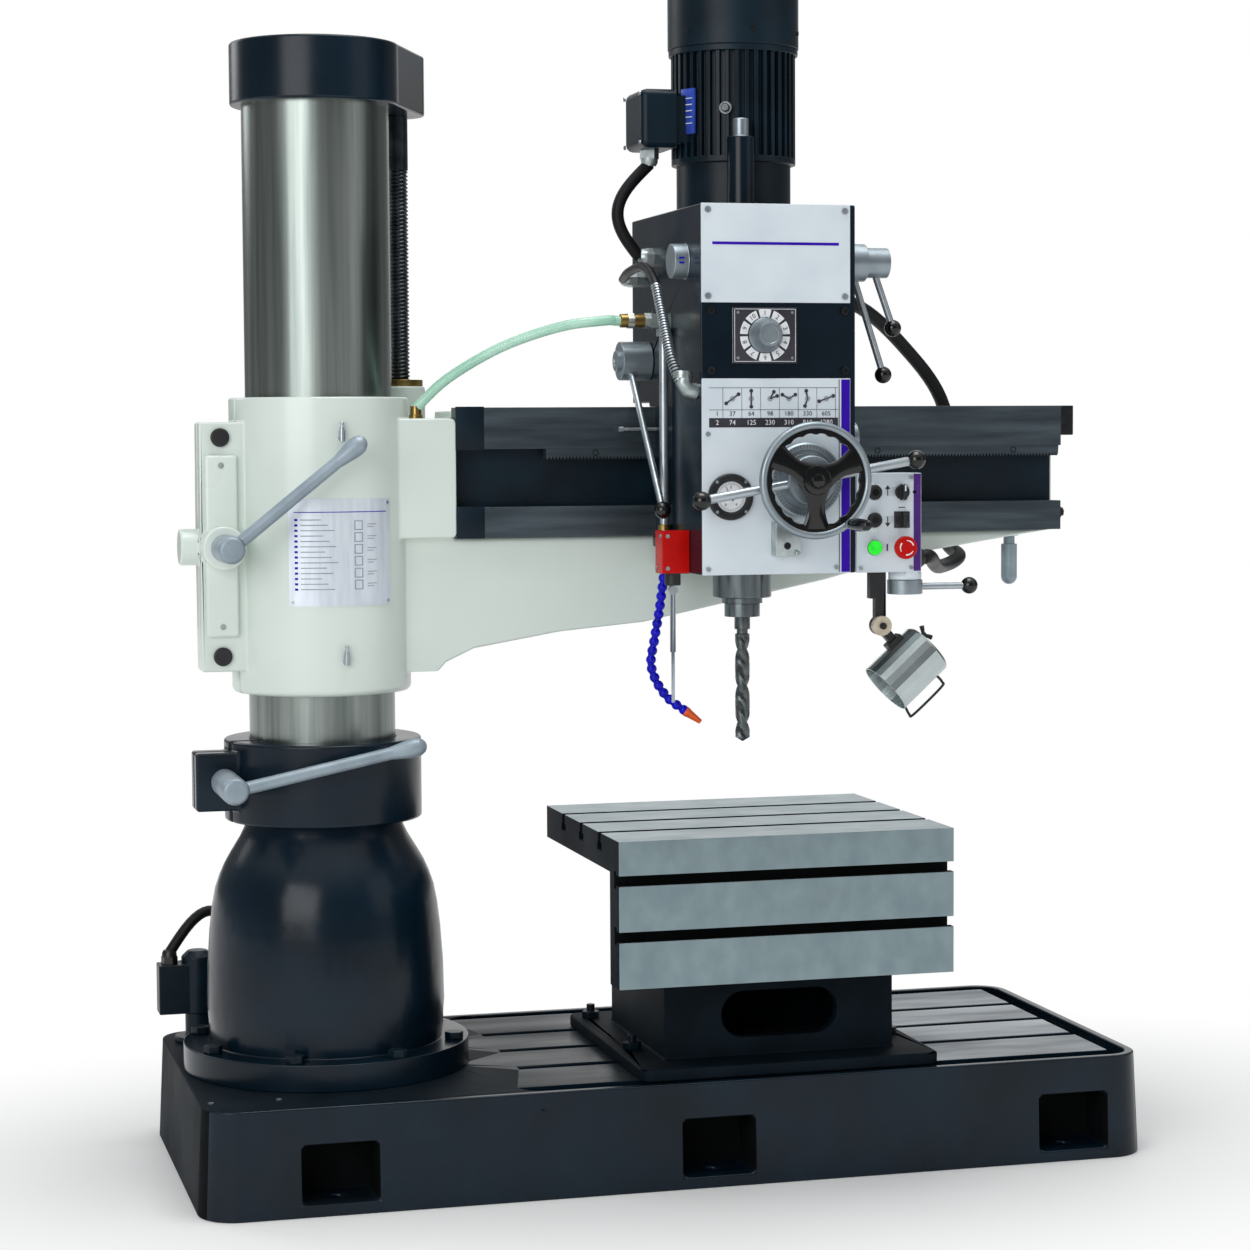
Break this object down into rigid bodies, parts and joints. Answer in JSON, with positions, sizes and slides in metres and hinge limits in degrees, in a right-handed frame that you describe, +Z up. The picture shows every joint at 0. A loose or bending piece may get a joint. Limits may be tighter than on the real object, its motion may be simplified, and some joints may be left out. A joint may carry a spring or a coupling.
{
  "type": "radial arm drill",
  "caption": "Radial arm drilling machine: a drill head slides on an arm that swings and lifts on a round column over a slotted base and box table.",
  "frame": {"origin": "column axis at the floor, under the base casting", "axes": "+X along the arm away from the column, +Y to the rear of the machine, +Z up"},
  "size_m": [1.723, 0.9605, 2.115],
  "materials": {
    "painted_casting": "gloss anthracite paint over cast iron",
    "arm_paint": "pale grey-white gloss paint over cast iron",
    "cowl_paint": "gloss anthracite paint over sheet steel",
    "ground_steel": "ground and oiled",
    "machined_iron": "ground or milled, bare",
    "bright_steel": "polished bright",
    "satin_silver": "satin silver paint",
    "bronze": "turned, bare",
    "panel_plate": "satin light grey sheet",
    "black_metal": "gloss black",
    "black_plastic": "moulded black",
    "cable_rubber": "matt black sheath",
    "green_hose": "clear soft hose with a green cast",
    "blue_segments": "moulded blue segments",
    "red_switch": "moulded red",
    "green_button": "moulded green"
  },
  "bodies": {
    "base": {"base_casting": "painted_casting", "column_pedestal": "painted_casting", "base_bolts": "ground_steel", "inner_post": "ground_steel", "column_bearing": "machined_iron", "clamp_collar": "painted_casting", "work_table": "machined_iron", "table_stand": "painted_casting", "coolant_pump": "painted_casting", "pump_cable": "cable_rubber"},
    "column_lever": {"column_clamp_lever": "satin_silver"},
    "column": {"outer_column": "ground_steel", "column_cap": "painted_casting", "lift_motor": "cowl_paint"},
    "screw": {"elevating_screw": "ground_steel"},
    "arm": {"arm_casting": "arm_paint", "arm_ways": "machined_iron", "traverse_rack": "machined_iron", "elevating_nut": "bronze", "clamp_plugs": "black_plastic", "arm_end_stop": "black_metal", "pull_handle": "satin_silver", "coolant_hose": "green_hose"},
    "arm_lever": {"arm_clamp_lever": "satin_silver"},
    "head": {"head_casting": "painted_casting", "front_panels": "panel_plate", "depth_gauge": "black_metal", "motor_frame": "painted_casting", "fan_cowl": "cowl_paint", "motor_cable": "cable_rubber", "sensor_conduit": "cable_rubber", "head_cable": "cable_rubber", "control_box": "panel_plate", "lamp_bracket": "black_metal", "safety_switch": "red_switch", "coolant_pipe": "bright_steel", "segment_hose": "blue_segments"},
    "wheel": {"handwheel": "bright_steel", "traverse_shaft": "ground_steel"},
    "feed": {"feed_capstan": "black_metal", "feed_sleeve": "ground_steel"},
    "quill": {"quill": "ground_steel"},
    "spindle": {"spindle": "ground_steel", "drill_bit": "bright_steel"},
    "drive": {"drive_sleeve": "ground_steel"},
    "rotor": {"motor_rotor": "ground_steel"},
    "speed_inner": {"speed_lever_inner": "black_metal"},
    "speed_outer": {"speed_lever_outer": "black_metal"},
    "dial": {"dial_knob": "bright_steel"},
    "start_lever": {"start_lever": "bright_steel"},
    "head_lever": {"head_clamp_lever": "black_metal"},
    "lamp": {"lamp_head": "black_plastic"},
    "trip": {"trip_rod": "bright_steel"},
    "up": {"button_up": "black_plastic"},
    "down": {"button_down": "black_plastic"},
    "start": {"button_start": "green_button"},
    "stop": {"stop_button": "red_switch"},
    "selector": {"selector_knob": "black_plastic"},
    "rocker": {"rocker_switch": "black_plastic"}
  },
  "joints": [
    {"name": "column_swing", "type": "hinge", "parent": "base", "child": "column", "pos_m": [0, 0, 0.6605], "axis": [0, 0, 1], "range_deg": [-180, 180]},
    {"name": "column_lever_turn", "type": "hinge", "parent": "base", "child": "column_lever", "pos_m": [-0.186, -0.072, 0.709], "axis": [0, 1, 0], "range_deg": [-20, 20]},
    {"name": "arm_lift", "type": "slide", "parent": "column", "child": "arm", "axis": [0, 0, 1], "range_m": [0, 0.45]},
    {"name": "screw_turn", "type": "hinge", "parent": "column", "child": "screw", "pos_m": [0.172, 0.13, 1.896], "axis": [0, 0, 1], "range_deg": [-10, 23152.86]},
    {"name": "arm_lever_turn", "type": "hinge", "parent": "arm", "child": "arm_lever", "pos_m": [-0.186, -0.072, 1.122], "axis": [0, 1, 0], "range_deg": [-20, 20]},
    {"name": "head_traverse", "type": "slide", "parent": "arm", "child": "head", "axis": [1, 0, 0], "range_m": [-0.26, 0.42], "deforming": ["coolant_hose", "head_cable"]},
    {"name": "wheel_turn", "type": "hinge", "parent": "head", "child": "wheel", "pos_m": [0.7685, -0.485, 1.235], "axis": [0, -1, 0], "range_deg": [-393.02, 634.27]},
    {"name": "quill_feed", "type": "slide", "parent": "head", "child": "quill", "axis": [0, 0, -1], "range_m": [0, 0.15]},
    {"name": "feed_turn", "type": "hinge", "parent": "head", "child": "feed", "pos_m": [0.7685, -0.455, 1.235], "axis": [0, -1, 0], "range_deg": [-1, 478.46]},
    {"name": "rotor_spin", "type": "hinge", "parent": "head", "child": "rotor", "pos_m": [0.747, -0.08916, 2.003], "axis": [0, 0, 1], "continuous": true},
    {"name": "drive_spin", "type": "hinge", "parent": "head", "child": "drive", "pos_m": [0.717, -0.23, 1.499], "axis": [0, 0, 1], "continuous": true},
    {"name": "spindle_spin", "type": "hinge", "parent": "quill", "child": "spindle", "pos_m": [0.717, -0.23, 1.015], "axis": [0, 0, 1], "continuous": true},
    {"name": "speed_inner_turn", "type": "hinge", "parent": "head", "child": "speed_inner", "pos_m": [0.882, -0.3, 1.613], "axis": [1, 0, 0], "range_deg": [-30, 30]},
    {"name": "speed_outer_turn", "type": "hinge", "parent": "head", "child": "speed_outer", "pos_m": [0.9205, -0.3, 1.613], "axis": [1, 0, 0], "range_deg": [-30, 30]},
    {"name": "dial_turn", "type": "hinge", "parent": "head", "child": "dial", "pos_m": [0.70715, -0.4, 1.48253], "axis": [0, -1, 0], "range_deg": [-150, 150]},
    {"name": "start_turn", "type": "hinge", "parent": "head", "child": "start_lever", "pos_m": [0.9755, -0.36, 1.0325], "axis": [0, 0, 1], "range_deg": [-30, 30]},
    {"name": "head_lever_turn", "type": "hinge", "parent": "head", "child": "head_lever", "pos_m": [0.594, -0.062, 1.447], "axis": [1, 0, 0], "range_deg": [-20, 6]},
    {"name": "lamp_tilt", "type": "hinge", "parent": "head", "child": "lamp", "pos_m": [0.928, -0.36, 0.978], "axis": [0, 1, 0], "range_deg": [-20, 20]},
    {"name": "trip_swing", "type": "hinge", "parent": "head", "child": "trip", "pos_m": [0.569, -0.299, 1.0435], "axis": [0, 1, 0], "range_deg": [-12, 12], "stiffness_Nm_per_rad": 0.5},
    {"name": "up_press", "type": "slide", "parent": "head", "child": "up", "axis": [0, 1, 0], "range_m": [0, 0.004], "stiffness_N_per_m": 400},
    {"name": "down_press", "type": "slide", "parent": "head", "child": "down", "axis": [0, 1, 0], "range_m": [0, 0.004], "stiffness_N_per_m": 400},
    {"name": "start_press", "type": "slide", "parent": "head", "child": "start", "axis": [0, 1, 0], "range_m": [0, 0.004], "stiffness_N_per_m": 400},
    {"name": "stop_press", "type": "slide", "parent": "head", "child": "stop", "axis": [0, 1, 0], "range_m": [0, 0.005], "stiffness_N_per_m": 500},
    {"name": "selector_turn", "type": "hinge", "parent": "head", "child": "selector", "pos_m": [0.955, -0.4, 1.212], "axis": [0, -1, 0], "range_deg": [-45, 45]},
    {"name": "rocker_turn", "type": "hinge", "parent": "head", "child": "rocker", "pos_m": [0.955, -0.4, 1.164], "axis": [0, -1, 0], "range_deg": [-45, 45]}
  ],
  "couplings": [
    {"joint": "screw_turn", "follows": "arm_lift", "rad_per_m": 897.6},
    {"joint": "wheel_turn", "follows": "head_traverse", "rad_per_m": 26.316},
    {"joint": "feed_turn", "follows": "quill_feed", "rad_per_m": 55.556},
    {"joint": "drive_spin", "follows": "rotor_spin", "ratio": -0.6},
    {"joint": "spindle_spin", "follows": "rotor_spin", "ratio": -0.6}
  ]
}
